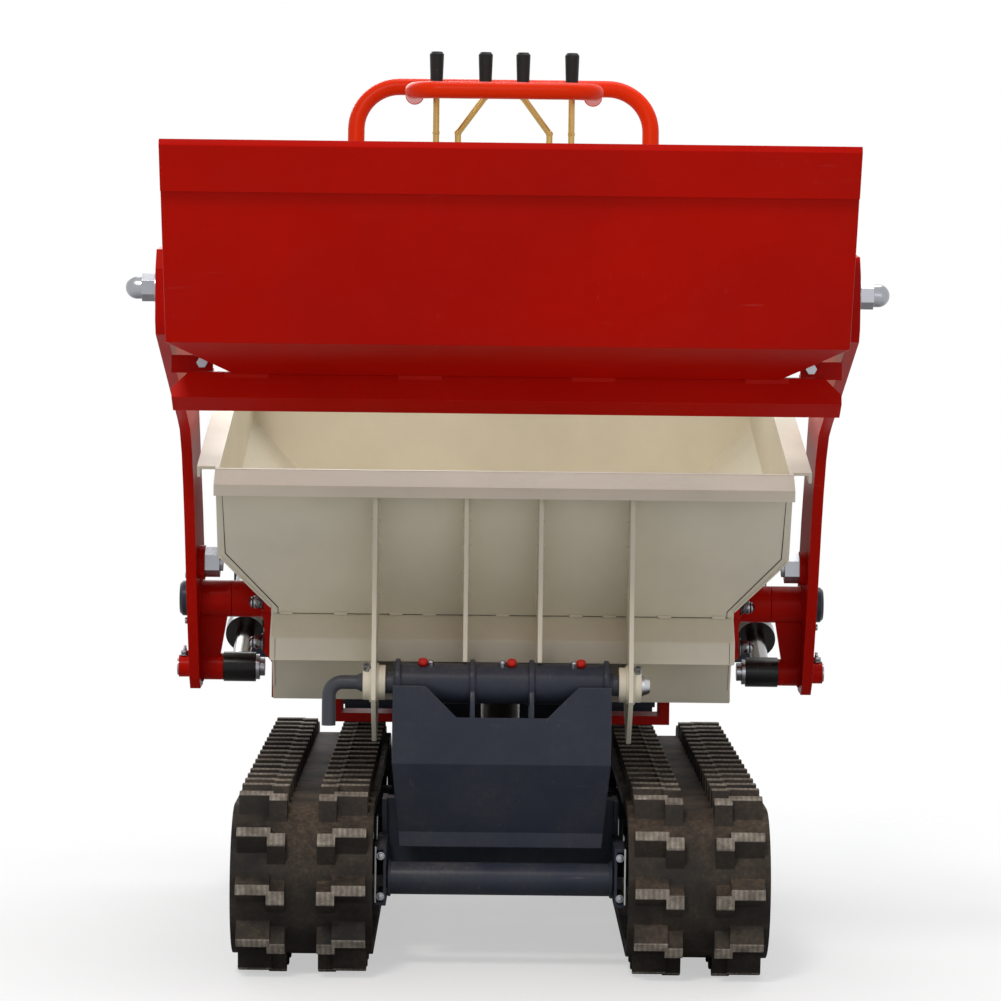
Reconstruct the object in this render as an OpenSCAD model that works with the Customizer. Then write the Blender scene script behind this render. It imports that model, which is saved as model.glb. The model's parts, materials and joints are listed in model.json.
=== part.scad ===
// Tracked power carrier with a tipping skip and a front self-loading bucket.
// Millimetres. +Z is up, -Y is the front, origin on the ground under the middle of the tracks.

/* [Tracks] */
// width of one rubber track
track_width = 180; // [150:1:230]
// distance between the two track centre lines
track_gauge = 504; // [460:1:600]
// distance from idler axle to sprocket axle
wheelbase = 935; // [800:1:1100]
// length of one track link
link_pitch = 60; // [54:1:90]
// radius of the pitch line round the sprocket
pitch_r = 92; // [86:0.5:98]
// height of the tread lugs
lug_height = 22; // [10:1:30]
// thickness of the rubber belt between the lugs
belt_thickness = 14; // [8:1:20]
// gap between wheels and the inside of the belt
wheel_gap = 0.5; // [0.3:0.1:2]
// radius of a bottom roller
roller_r = 30; // [22:1:34]
// distance between neighbouring bottom rollers
roller_step = 230; // [120:1:260]

/* [Skip] */
// height of the skip hinge axis
hinge_z = 370; // [340:1:400]
// fore and aft place of the skip hinge axis
hinge_y = -450; // [-480:1:-400]
// radius of the hinge pin
hinge_pin_r = 14; // [10:0.5:16]
// rise of the skip floor towards the rear, in degrees
skip_tilt = 12.5; // [8:0.5:14]
// half width of the skip at the rim
skip_half = 371; // [340:1:380]
// half width of the skip at the floor
skip_low_half = 303; // [270:1:308]
// depth of the skip
skip_depth = 342; // [300:1:380]
// length of the skip floor
skip_length = 677; // [560:1:700]
// sheet thickness of the skip
skip_sheet = 5; // [3:0.5:6]

/* [Loader] */
// height of the arm pivot
pivot_z = 454; // [430:1:480]
// fore and aft place of the arm pivot
pivot_y = -115.5; // [-140:0.5:-90]
// radius of the arm pivot shaft
pivot_r = 15; // [10:0.5:18]
// inner face of an arm plate
arm_in = 412; // [404:1:430]
// thickness of an arm plate
arm_t = 14; // [8:1:18]
// half width of the bucket
bucket_half = 408; // [360:1:408]
// sheet thickness of the bucket
bucket_sheet = 5; // [4:0.5:8]
// radius of the lift cylinder barrel
lift_barrel_r = 25; // [20:1:27]
// radius of the lift cylinder rod
lift_rod_r = 12.5; // [10:0.5:14]
// length of the lift cylinder from eye to eye
lift_length = 430; // [400:1:460]
// rise of the lift cylinder towards the rear, in degrees
lift_rise = 18; // [14:1:22]

/* [Engine] */
// width of the engine's crankcase
engine_width = 190; // [180:1:196]
// fore and aft place of the engine's crank line
engine_y = 580; // [576:1:584]

/* [Handlebar] */
// radius of the handlebar tube
bar_r = 13.5; // [11:0.5:16]
// half distance between the handlebar legs
bar_half = 238; // [200:1:260]
// height of the handlebar axis
bar_z = 1217; // [1100:1:1300]
// radius of the handlebar corner bends
bar_bend = 70; // [40:1:90]
// radius of a lever rod
lever_r = 5; // [4:0.5:7]

/* [Hidden] */
$fn = 64;
// radial gap of a running fit and side gap between bodies
fit = 0.05;
gap = 0.5;
weld = 2;
// gap between two sheets that are joined face to face
seam = 0.05;
belt_length = 2 * wheelbase + 2 * PI * pitch_r;
link_count = round(belt_length / link_pitch);
link_step = belt_length / link_count;
belt_out = pitch_r + 4;
belt_in = belt_out - belt_thickness;
track_r = belt_out + lug_height;
axle_z = track_r;
half_base = wheelbase / 2;
track_x = track_gauge / 2;
track_in = track_x - track_width / 2;
wheel_r = belt_in - wheel_gap;
groove_half = 16;
groove_r = belt_in + 8;
horn_in = 27;
horn_out = 37;
horn_h = 12;
idler_half = 22;
axle_r = 15;
sprocket_teeth = round(2 * PI * pitch_r / link_pitch);
tooth_r = groove_r - 1.5;
shaft_r = 20;
roller_z = axle_z - belt_in + wheel_gap + roller_r;
tread_in = 42;
tread_out = 70;
roller_axle_r = 10;
lug_edge = 8;
lug_bar = 43;
lug_block = 23;
lug_lap = 4;
lug_step = 10;
lug_foot = 20;
lug_head = 6;
lug_root = 6;
lug_start = (wheelbase + PI * pitch_r / 2) % link_step;
beam_half = 22;
beam_z0 = axle_z - 10;
beam_z1 = axle_z + 50;
rail_in = 95;
rail_out = 135;
rail_z0 = 208;
rail_z1 = 272;
tie_size = 40;
tie_z = rail_z0 - tie_size;
tie_y = half_base - 127.5;
apron_t = 4;
apron_z = tie_z - 60;
foot_half = 30;
cover_half = 140;
cover_y = hinge_y - 45;
cover_t = 3;
cover_fold = hinge_z - 100;
cover_low = hinge_z - 212;
tube_r = 26;
ear_x = [-134, -38, 38, 134];
ear_t = 6;
ear_rim = 5;
rib_x = [165, 48];
rib_t = 6;
boss_r = 22.5;
skip_y0 = -285;
skip_z0 = 333;
fold_lo = 138;
fold_hi = 217;
skip_lean = -108.6;
rim_flange = 24;
rim_y = skip_y0 + skip_lean * cos(skip_tilt) - skip_depth * sin(skip_tilt);
rim_z = skip_z0 + skip_lean * sin(skip_tilt) + skip_depth * cos(skip_tilt);
box_top = skip_z0 + 118;
box_mid = box_top - 30;
box_low = box_top - 59;
box_y = -390;
rib_top = skip_z0 + 273;
eye_r = 20.5;
eye_half = 22;
lift_x = 360;
pin_dy = 47;
pin_dz = -97;
pin_y = pivot_y + pin_dy;
pin_z = pivot_z + pin_dz;
pin_r = 12.5;
lift_shown = 118;
piston_end = 297;
piston_len = 35;
lift_wall = 4;
anchor_y = pin_y + lift_length * cos(lift_rise);
anchor_z = pin_z + lift_length * sin(lift_rise);
hub_r = 25;
house_x0 = 309;
house_x1 = 323;
hub_x = 368;
cap_t = 13;
cap_r = 24;
cap_chamfer = 4;
leg_in = 216;
leg_out = 230;
neck_x0 = skip_low_half + 2.5;
neck_x1 = neck_x0 + 6.5;
neck_z = pivot_z - 84;
shelf_z = pivot_z - 132;
shelf_t = 32;
bolt_y = -705.5;
bolt_z = 872;
bolt_r = 10;
lip = [-948.5, 1037];
fold = [-826.5, 806];
heel = [-705.5, 768];
crest = [-573, 838];
heel_half = 334;
corner_y = -617;
bracket_x = 362;
bracket_y = -662;
bracket_z = 772;
stop_y = pivot_y - 40;
stop_z = pivot_z + 52;
tip_y = tie_size + 38 - tie_y;
tip_z = 150;
tip_u = 330;
tip_w = -28;
tip_pin = [skip_y0 + tip_u * cos(skip_tilt) - tip_w * sin(skip_tilt),
  skip_z0 + tip_u * sin(skip_tilt) + tip_w * cos(skip_tilt)];
tip_len = sqrt(pow(tip_pin[0] - tip_y, 2) + pow(tip_pin[1] - tip_z, 2));
tip_rise = atan2(tip_pin[1] - tip_z, tip_pin[0] - tip_y);
tip_barrel_r = 27;
tip_pin_r = 10;
tip_cheek = 30;
tip_rod_r = 16;
tip_shown = 52;
deck_z = rail_z1 + 8;
deck_half = 250;
deck_y0 = 395;
skirt_t = 6;
bar_y = 939.4;
leg_y = 800;
bar_lean = atan2(bar_y - leg_y, bar_z - deck_z);
bar_len = (bar_z - deck_z) / cos(bar_lean);
guard_half = 144;
guard_reach = 180;
guard_bend = 45;
guard_z = bar_z - 15;
lever_y = 845;
lever_z = 870;
lever_pin_r = 4;
inner_lever = 73;
outer_lever = 108;
inner_knob = 30;
elbow = 0.8;
knob_top = 1268;
knob_h = 48;
knob_r = 11.5;

red = [0.72, 0.1, 0.03];
orange = [0.9, 0.25, 0.06];
cream = [0.84, 0.81, 0.74];
slate = [0.2, 0.22, 0.27];
black = [0.07, 0.07, 0.07];
rubber = [0.14, 0.13, 0.12];
steel = [0.65, 0.66, 0.68];
zinc = [0.72, 0.6, 0.35];

// cylinder along X
module xcyl(r, x0, x1, y, z) {
  translate([x0, y, z]) rotate([0, 90, 0]) cylinder(r = r, h = x1 - x0);
}
// outline in Y and Z drawn out along X
module xprism(pts, x0, x1) {
  translate([x0, 0, 0]) rotate([90, 0, 90]) linear_extrude(x1 - x0) polygon(pts);
}
// block from limits
module block(x0, x1, y0, y1, z0, z1) {
  translate([x0, y0, z0]) cube([x1 - x0, y1 - y0, z1 - z0]);
}
// right side as drawn, left side mirrored
module side(s) {
  if (s > 0) children();
  else mirror([1, 0, 0]) children();
}
// round bar between two points
module bar(a, b, r) {
  d = b - a;
  n = norm(d);
  translate(a) rotate([0, acos(d[2] / n), atan2(d[1], d[0])]) cylinder(r = r, h = n);
}
// hexagon head along X
module xhex(r, x0, x1, y, z) {
  translate([x0, y, z]) rotate([0, 90, 0]) cylinder(r = r, h = x1 - x0, $fn = 6);
}

// closed loop around both axles
module loop(r, x0, x1) {
  xcyl(r, x0, x1, -half_base, axle_z);
  xcyl(r, x0, x1, half_base, axle_z);
  block(x0, x1, -half_base, half_base, axle_z - r, axle_z + r);
}
// places a lug along the pitch line
module on_path(s) {
  arc = PI * pitch_r;
  turn = 180 / (PI * pitch_r);
  if (s < wheelbase)
    translate([0, half_base - s, axle_z]) children();
  else if (s < wheelbase + arc)
    translate([0, -half_base, axle_z]) rotate([(s - wheelbase) * turn, 0, 0]) children();
  else if (s < 2 * wheelbase + arc)
    translate([0, s - wheelbase - arc - half_base, axle_z]) rotate([180, 0, 0]) children();
  else
    translate([0, half_base, axle_z]) rotate([180 + (s - 2 * wheelbase - arc) * turn, 0, 0]) children();
}
module lug(x0, x1, y, foot, head) {
  z0 = belt_out - lug_root;
  xprism([[y - foot, z0], [y + foot, z0], [y + head, track_r], [y - head, track_r]], x0, x1);
}
module belt() {
  half = track_width / 2;
  translate([track_x, 0, 0]) {
    difference() {
      loop(belt_out, -half, half);
      loop(belt_in, -half - 1, half + 1);
      loop(groove_r, -groove_half, groove_half);
    }
    for (s = [-1, 1]) {
      difference() {
        loop(belt_in + 1, s > 0 ? horn_in : -horn_out, s > 0 ? horn_out : -horn_in);
        loop(belt_in - horn_h, -half, half);
      }
    }
    for (i = [0 : link_count - 1])
      on_path(lug_start + i * link_step)
        for (s = [-1, 1])
          side(s) {
            lug(half - lug_edge - lug_bar, half - lug_edge, 0, lug_foot, lug_head);
            lug(half - lug_edge - lug_bar - lug_block + lug_lap, half - lug_edge - lug_bar + lug_lap,
              -lug_step, lug_foot + 2, lug_head + 2);
          }
  }
}
module track_belt_left() color(rubber) side(-1) belt();
module track_belt_right() color(rubber) belt();

module sprocket() {
  tooth_foot = 78;
  difference() {
    union() {
      xcyl(wheel_r - 2, track_x - 12, track_x + 12, half_base, axle_z);
      xcyl(45, track_x - 17, track_x + 17, half_base, axle_z);
      for (i = [0 : sprocket_teeth - 1])
        translate([0, half_base, axle_z]) rotate([(i + 0.5) * 360 / sprocket_teeth, 0, 0])
          xprism([[-11, tooth_foot - 4], [11, tooth_foot - 4], [6, tooth_r], [-6, tooth_r]],
            track_x - 10, track_x + 10);
    }
    xcyl(shaft_r + fit, track_x - 40, track_x + 40, half_base, axle_z);
  }
}
module drive_sprocket_left() color(steel) side(-1) sprocket();
module drive_sprocket_right() color(steel) sprocket();

module idler() {
  difference() {
    xcyl(wheel_r, track_x - idler_half, track_x + idler_half, -half_base, axle_z);
    for (s = [-1, 1])
      difference() {
        xcyl(wheel_r - 12, track_x + s * 15 - 7.5, track_x + s * 15 + 7.5, -half_base, axle_z);
        xcyl(28, track_x - 40, track_x + 40, -half_base, axle_z);
      }
    xcyl(axle_r + fit, track_x - 40, track_x + 40, -half_base, axle_z);
  }
}
module idler_wheel_left() color(slate) side(-1) idler();
module idler_wheel_right() color(slate) idler();

module roller(y) {
  difference() {
    union() {
      for (s = [-1, 1])
        side(1) xcyl(roller_r, track_x + (s > 0 ? tread_in : -tread_out),
          track_x + (s > 0 ? tread_out : -tread_in),
          y, roller_z);
      xcyl(16, track_x - tread_out, track_x + tread_out, y, roller_z);
    }
    xcyl(roller_axle_r + fit, track_x - 90, track_x + 90, y, roller_z);
  }
}
module roller_left_front() color(slate) side(-1) roller(-roller_step);
module roller_left_mid() color(slate) side(-1) roller(0);
module roller_left_rear() color(slate) side(-1) roller(roller_step);
module roller_right_front() color(slate) roller(-roller_step);
module roller_right_mid() color(slate) roller(0);
module roller_right_rear() color(slate) roller(roller_step);

module side_frame() {
  fork_in = idler_half + 5;
  fork_out = fork_in + 8;
  cheek = tread_out + gap;
  cheek_t = 6;
  block(track_x - beam_half, track_x + beam_half, -half_base + 140, half_base - 100, beam_z0, beam_z1);
  block(track_x - fork_out, track_x + fork_out, -half_base + 120, -half_base + 140 + weld, beam_z0, beam_z1);
  for (s = [-1, 1]) {
    x = track_x + s * (fork_in + 4);
    block(x - 4, x + 4, -half_base - 24, -half_base + 130, axle_z - 24, axle_z + 24);
  }
  xcyl(axle_r, track_x - fork_out, track_x + fork_out, -half_base, axle_z);
  for (i = [-1 : 1]) {
    y = i * roller_step;
    block(track_x - cheek - cheek_t, track_x + cheek + cheek_t, y - 26, y + 26, beam_z0, beam_z0 + 10);
    for (s = [-1, 1]) {
      x = track_x + s * (cheek + cheek_t / 2);
      block(x - cheek_t / 2, x + cheek_t / 2, y - 26, y + 26, roller_z - 16, beam_z0 + 10);
    }
    xcyl(roller_axle_r, track_x - cheek - cheek_t, track_x + cheek + cheek_t, y, roller_z);
  }
  for (s = [-1, 1]) {
    y = s * (tie_y - tie_size / 2);
    block(rail_out + 20, track_x - beam_half, y - foot_half, y + foot_half, beam_z0, beam_z0 + 40);
  }
}
module track_frame_left() color(slate) side(-1) side_frame();
module track_frame_right() color(slate) side_frame();

module motor() {
  xcyl(shaft_r, track_x - 30, track_x + 17, half_base, axle_z);
  xcyl(30, track_x - 85, track_x - 29, half_base, axle_z);
  block(track_x - 75, track_x - 60, half_base - 100 - weld, half_base + 20, axle_z - 20, axle_z + 20);
  block(track_x - 75, track_x - beam_half, tie_y - tie_size / 2 + foot_half, half_base - 98, beam_z0,
    beam_z0 + 40);
  xcyl(32, track_x + 17 + gap, track_x + 25, half_base, axle_z);
  xcyl(8, track_x + 16, track_x + 18, half_base, axle_z);
}
module drive_motor_left() color(black) side(-1) motor();
module drive_motor_right() color(black) motor();

module chassis_rails() color(slate) {
  for (s = [-1, 1])
    side(s) difference() {
      block(rail_in, rail_out, hinge_y + 10, leg_y - 60, rail_z0, rail_z1);
      block(rail_in - 1, rail_out - 6, hinge_y + 90, leg_y - 61 - weld, rail_z0 + 6, rail_z1 - 6);
    }
  block(-rail_out, rail_out, hinge_y - 35, hinge_y + 80, rail_z1 - 10, rail_z1);
  block(-rail_in - weld, rail_in + weld, tip_y + 250, tip_y + 290, rail_z0, rail_z0 + 12);
}

module cross_beams() color(slate) {
  for (s = [-1, 1]) {
    y0 = s > 0 ? tie_y - tie_size : -tie_y;
    difference() {
      block(-rail_out - 15, rail_out + 15, y0, y0 + tie_size, tie_z, tie_z + tie_size);
      block(-rail_out - 16, rail_out + 16, y0 + 4, y0 + tie_size - 4, tie_z + 4, tie_z + tie_size - 4);
    }
    for (e = [-1, 1])
      side(e) block(rail_out + 14, rail_out + 20, y0 - 15, y0 + tie_size + 15, beam_z0, rail_z0);
  }
  block(-rail_out - 15, rail_out + 15, -tie_y, apron_t - tie_y, apron_z, tie_z + 1);
  for (e = [-1, 1])
    side(e) difference() {
      block(tip_cheek, tip_cheek + 8, tie_size - tie_y, tip_y + 24, tip_z - 24, tie_z + 22);
      xcyl(tip_pin_r, tip_cheek - 1, tip_cheek + 9, tip_y, tip_z);
    }
  xcyl(tip_pin_r, -tip_cheek - 14, tip_cheek + 14, tip_y, tip_z);
}

module front_cross_tube() color(slate) {
  xcyl(21, -142, 142, -half_base, axle_z + 2);
  xcyl(13, -150, 150, -half_base, axle_z + 2);
}
module side_channels() color(slate) {
  web = 146;
  for (s = [-1, 1])
    side(s) {
      difference() {
        block(web, web + 4, -half_base - 32, -tie_y - 15, axle_z - 30, axle_z + 46);
        xcyl(13 + seam, web - 1, web + 5, -half_base, axle_z + 2);
      }
      block(web, track_in - 2, -half_base - 32, -tie_y - 15, axle_z - 30, axle_z - 25);
      block(web, track_in - 2, -half_base - 32, -tie_y - 15, axle_z + 41, axle_z + 46);
      xhex(6, web + 3, web + 9, -half_base + 40, axle_z + 22);
    }
}

module front_cover() color(slate) {
  y1 = cover_y + 43;
  y2 = cover_y + 50;
  t = cover_t;
  low = cover_half - 9;
  difference() {
    intersection() {
      union() {
        xprism([[cover_y, hinge_z], [cover_y, cover_fold], [y1, cover_low + 20], [y1, cover_low],
          [y1 + t, cover_low], [y1 + t, cover_low + 21], [cover_y + t, cover_fold + 1],
            [cover_y + t, hinge_z]],
          -cover_half, cover_half);
        for (s = [-1, 1])
          side(s) xprism([[cover_y + t / 2, hinge_z], [cover_y + t / 2, cover_fold],
            [y1 + t / 2, cover_low + 20],
            [y1 + t / 2, cover_low], [y2, cover_low], [y2, cover_fold], [cover_y + 25, hinge_z - 60],
            [cover_y + 12, hinge_z]], cover_half - t, cover_half);
      }
      translate([0, y2 + 20, 0]) rotate([90, 0, 0]) linear_extrude(y2 - cover_y + 40)
        polygon([[-low, cover_low - 1], [low, cover_low - 1], [cover_half, cover_fold],
          [cover_half, hinge_z + 1],
          [-cover_half, hinge_z + 1], [-cover_half, cover_fold]]);
    }
    translate([0, cover_y + 20, 0]) rotate([90, 0, 0]) linear_extrude(40)
      polygon([[-99, hinge_z + 1], [-58, hinge_z - 40], [58, hinge_z - 40], [99, hinge_z + 1]]);
  }
}

module hinge_tube() color(slate) {
  difference() {
    union() {
      xcyl(tube_r, -cover_half, cover_half, hinge_y, hinge_z);
      for (x = ear_x) {
        xcyl(tube_r + ear_rim, x - ear_t / 2, x + ear_t / 2, hinge_y, hinge_z);
        xprism([[cover_y + cover_t, rail_z1], [cover_y + cover_t, hinge_z - 30], [hinge_y - 20, hinge_z + 10],
          [hinge_y + 22, hinge_z + 10], [hinge_y + 60, hinge_z - 40], [hinge_y + 75, rail_z1]],
          x - ear_t / 2, x + ear_t / 2);
      }
    }
    xcyl(hinge_pin_r + fit, -cover_half - 1, cover_half + 1, hinge_y, hinge_z);
  }
}
module grease_nipples() color(steel) {
  for (x = [-92, 0, 92])
    difference() {
      union() {
        translate([x, hinge_y - 10, hinge_z + 20]) rotate([25, 0, 0]) cylinder(r = 4, h = 10);
        translate([x, hinge_y - 14, hinge_z + 28]) sphere(r = 3.4);
      }
      xcyl(tube_r, x - 10, x + 10, hinge_y, hinge_z);
    }
}

module loader_frame() color(red) {
  y0 = pivot_y - 35;
  y1 = pivot_y + 35;
  foot_z = rail_z1 + 18;
  seat = foot_z + 12;
  flare = neck_z + 14;
  for (s = [-1, 1])
    side(s) difference() {
      union() {
        translate([0, y1, 0]) rotate([90, 0, 0]) linear_extrude(y1 - y0)
          polygon([[rail_in, rail_z1], [rail_out, rail_z1], [rail_out, foot_z], [leg_out, foot_z],
            [leg_out, shelf_z], [neck_x1, shelf_z],
            [neck_x1, neck_z], [house_x1, flare], [house_x1, pivot_z + 30], [house_x0, pivot_z + 30],
            [house_x0, flare], [neck_x0, neck_z], [neck_x0, shelf_z + shelf_t],
            [leg_in, shelf_z + shelf_t], [leg_in, seat], [rail_in, seat]]);
        xcyl(hub_r, house_x1 - weld, hub_x, pivot_y, pivot_z);
      }
      xcyl(pivot_r, house_x0 - 1, hub_x + 1, pivot_y, pivot_z);
    }
}
module pivot_shafts() color(slate) {
  x1 = arm_in + arm_t + gap;
  for (s = [-1, 1])
    side(s) {
      xcyl(pivot_r, house_x0, x1 + 1, pivot_y, pivot_z);
      xcyl(cap_r, x1, x1 + cap_t - cap_chamfer, pivot_y, pivot_z);
      translate([x1 + cap_t - cap_chamfer, pivot_y, pivot_z]) rotate([0, 90, 0])
        cylinder(r1 = cap_r, r2 = cap_r - cap_chamfer, h = cap_chamfer);
    }
}

module cylinder_posts() color(slate) {
  y0 = anchor_y - 34;
  y1 = anchor_y + 40;
  x0 = lift_x - eye_half - 10;
  x1 = lift_x + eye_half + 10;
  z0 = anchor_z - 150;
  z1 = anchor_z + 110;
  plate = 15;
  for (s = [-1, 1])
    side(s) {
      block(x0, x0 + 5, y0, y1, z0, z1);
      block(x1 - 5, x1, y0, y1, z0, z1);
      block(x0, x1, y1 - 5, y1, z0, z1);
      block(leg_in, x1, y0, y1, z0, z0 + plate);
      block(leg_in, leg_out, y0, y1, rail_z1, z0 + 1);
      block(rail_in, leg_out, y0, y1, rail_z1, rail_z1 + plate);
      xhex(13, x1 - 1, x1 + 8, anchor_y, anchor_z);
      xhex(13, x0 - 8, x0 + 1, anchor_y, anchor_z);
    }
}

// places skip parts that are drawn with the floor level
module in_skip() {
  translate([0, skip_y0, skip_z0]) rotate([skip_tilt, 0, 0]) children();
}
// outline across the skip, from side to side
function skip_cross(t, top) = let (a = skip_half - t, b = skip_low_half - t)
  [[-b, t == 0 ? 0 : t], [b, t == 0 ? 0 : t], [b, fold_lo], [a, fold_hi], [a, top], [-a, top],
    [-a, fold_hi], [-b, fold_lo]];
function front_line(w) = skip_lean * w / skip_depth;
// fore and aft place of the outside of the front wall at a height
function wall_y(z) = skip_y0 - seam + (z - skip_z0) * (rim_y - skip_y0) / (rim_z - skip_z0);
module skip_solid(t, top) {
  end = skip_length - t;
  intersection() {
    translate([0, end, 0]) rotate([90, 0, 0]) linear_extrude(end + 400) polygon(skip_cross(t, top));
    xprism([[front_line(-20) + 1.05 * t, -20], [end, -20], [end, top + 1],
      [front_line(top + 1) + 1.05 * t, top + 1]],
      -skip_half - 1, skip_half + 1);
  }
}
module skip_shell() color(cream) in_skip() {
  lip_h = 14;
  y1 = front_line(skip_depth);
  difference() {
    skip_solid(0, skip_depth);
    skip_solid(skip_sheet, skip_depth + 40);
  }
  for (s = [-1, 1])
    side(s) {
      block(skip_half - 1, skip_half + rim_flange, y1 + 12, skip_length, skip_depth - 4, skip_depth);
      block(skip_half + rim_flange - 4, skip_half + rim_flange, y1 + 12, skip_length,
        skip_depth - lip_h, skip_depth);
    }
  block(-skip_half - rim_flange, skip_half + rim_flange, skip_length - 1, skip_length + rim_flange,
    skip_depth - 4, skip_depth);
  xprism([[y1 + 1, skip_depth], [y1 - 31, skip_depth - 13], [y1 - 34, skip_depth - 27],
    [y1 - 30, skip_depth - 27],
    [y1 - 27, skip_depth - 16], [y1 + 3, skip_depth - 4]], -skip_half, skip_half);
  for (s = [-1, 1])
    side(s) difference() {
      xprism([[tip_u - 45, 1], [tip_u + 45, 1], [tip_u + 22, tip_w - 16], [tip_u - 22, tip_w - 16]], 26, 34);
      xcyl(8, 20, 40, tip_u, tip_w);
    }
}
module skip_front_box() color(cream) {
  xprism([[wall_y(box_top), box_top], [box_y, box_mid], [box_y, box_low], [wall_y(box_low), box_low]],
    -skip_low_half, skip_low_half);
}
module skip_ribs() color(cream) {
  toe = skip_z0 + 5;
  tip = [[wall_y(rib_top) - 26.6, rib_top + 5], [wall_y(rib_top) - 18.6, rib_top + 12]];
  upper = [[wall_y(rib_top), rib_top], [wall_y(box_top), box_top], [box_y, box_mid]];
  wall = concat(upper, [[box_y, box_low], [wall_y(box_low), box_low]]);
  foot = [[wall_y(toe), toe], [hinge_y + 64, hinge_z - 76], [hinge_y + 38, hinge_z - 80],
    [hinge_y - 8, hinge_z - 42], [hinge_y - 32, hinge_z - 20]];
  head = concat([[hinge_y - 32, hinge_z + 20]], tip);
  short = [[box_y, box_low + 5], [hinge_y - 8, hinge_z + 28]];
  difference() {
    for (s = [-1, 1])
      side(s) {
        xprism(concat(wall, foot, head), rib_x[0] - rib_t / 2, rib_x[0] + rib_t / 2);
        xprism(concat(upper, short, tip), rib_x[1] - rib_t / 2, rib_x[1] + rib_t / 2);
        xcyl(boss_r, rib_x[0] - 15, rib_x[0] + 14, hinge_y, hinge_z);
      }
    xcyl(hinge_pin_r, -rib_x[0] - 30, rib_x[0] + 30, hinge_y, hinge_z);
  }
}
module hinge_pin() color(steel) {
  x0 = -rib_x[0] - 14;
  bend = 18;
  rod = 9;
  reach = 26;
  drop = 38;
  xcyl(hinge_pin_r, x0, rib_x[0] + 16, hinge_y, hinge_z);
  translate([rib_x[0] + 16, hinge_y, hinge_z]) rotate([0, 90, 0]) cylinder(r1 = hinge_pin_r, r2 = 10, h = 9);
  translate([x0 - 9, hinge_y, hinge_z]) rotate([0, 90, 0]) cylinder(r1 = rod, r2 = 13, h = 9.1);
  xcyl(rod, x0 - reach, x0 - 8, hinge_y, hinge_z);
  translate([x0 - reach, hinge_y, hinge_z - bend]) rotate([90, 0, 0]) rotate([0, 0, 90])
    rotate_extrude(angle = 90)
    translate([bend, 0]) circle(r = rod);
  translate([x0 - reach - bend, hinge_y, hinge_z - bend - drop]) cylinder(r = rod, h = drop);
}
module boss_screws() color(steel) {
  for (s = [-1, 1])
    side(s) difference() {
      translate([rib_x[0] + 9, hinge_y - 12, hinge_z + 16]) rotate([38, 0, 0]) cylinder(r = 5, h = 10);
      translate([rib_x[0] + 9, hinge_y - 12, hinge_z + 16]) rotate([38, 0, 0]) translate([0, 0, 6])
        cylinder(r = 3, h = 5, $fn = 6);
      xcyl(boss_r, rib_x[0] - 15, rib_x[0] + 20, hinge_y, hinge_z);
    }
}

// outline of an arm plate, seen from the side
web_x = lift_x + eye_half + 8;
web_flare = 20;
arm_front = [[-124.5, 345], [-187.5, 454], [-242.5, 566], [-270, 613], [-302, 658], [-340, 690], [-385, 706]];
arm_tip = [[-746.5, 815], [-757, 832], [-757, 895], [-742, 918], [-690, 922]];
arm_back = [[-300, 808], [-240, 785], [-196, 745], [-150, 680], [-72, 566], [-22, 470], [-14, 400],
  [-25, 352],
  [-52, 331], [-104, 329]];
module arm() {
  difference() {
    union() {
      xprism(concat(arm_front, arm_tip, arm_back), arm_in, arm_in + arm_t);
      xcyl(hub_r, hub_x + gap, arm_in + 1, pivot_y, pivot_z);
      xcyl(eye_r - 2, lift_x + eye_half + gap, arm_in + 1, pin_y, pin_z);
      xcyl(15, arm_in + arm_t - 1, arm_in + arm_t + 18, pin_y, pin_z);
      xcyl(23, arm_in - 9, arm_in + 1, stop_y, stop_z);
      intersection() {
        xprism([[pivot_y - 8, pivot_z - 20], [pivot_y + 2, pivot_z - 20], [pin_y, pin_z + 14],
          [pin_y - 12, pin_z + 12]],
          web_x - web_flare - 1, arm_in + 1);
        translate([0, pin_y + 50, 0]) rotate([90, 0, 0]) linear_extrude(200)
          polygon([[web_x, pin_z], [arm_in + 2, pin_z], [arm_in + 2, pivot_z], [web_x - web_flare, pivot_z]]);
      }
      block(bracket_x, arm_in + 1, bracket_y, bracket_y + 8, bracket_z, bracket_z + 18);
      block(bracket_x, arm_in + 1, bracket_y, bracket_y + 22, bracket_z - 4, bracket_z + 2);
    }
    xcyl(pivot_r + fit, hub_x - 1, arm_in + arm_t + 1, pivot_y, pivot_z);
    xcyl(bolt_r + seam, arm_in - 1, arm_in + arm_t + 1, bolt_y, bolt_z);
    xcyl(pin_r, arm_in - 40, arm_in + arm_t + 20, pin_y, pin_z);
  }
}
module loader_arm_left() color(red) side(-1) arm();
module loader_arm_right() color(red) arm();

// half space beyond the cut corner of the bucket
module corner_cut(t) {
  a = [bucket_half, fold[0], fold[1]];
  b = [heel_half, heel[0], heel[1]];
  c = [bucket_half, corner_y, heel[1] + (corner_y - heel[0]) * (crest[1] - heel[1]) / (crest[0] - heel[0])];
  n = cross(b - a, c - a);
  u = n / norm(n);
  translate(a - t * u) rotate([0, acos(u[2]), atan2(u[1], u[0])])
    translate([-400, -400, 0]) cube([800, 800, 300]);
}
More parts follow.
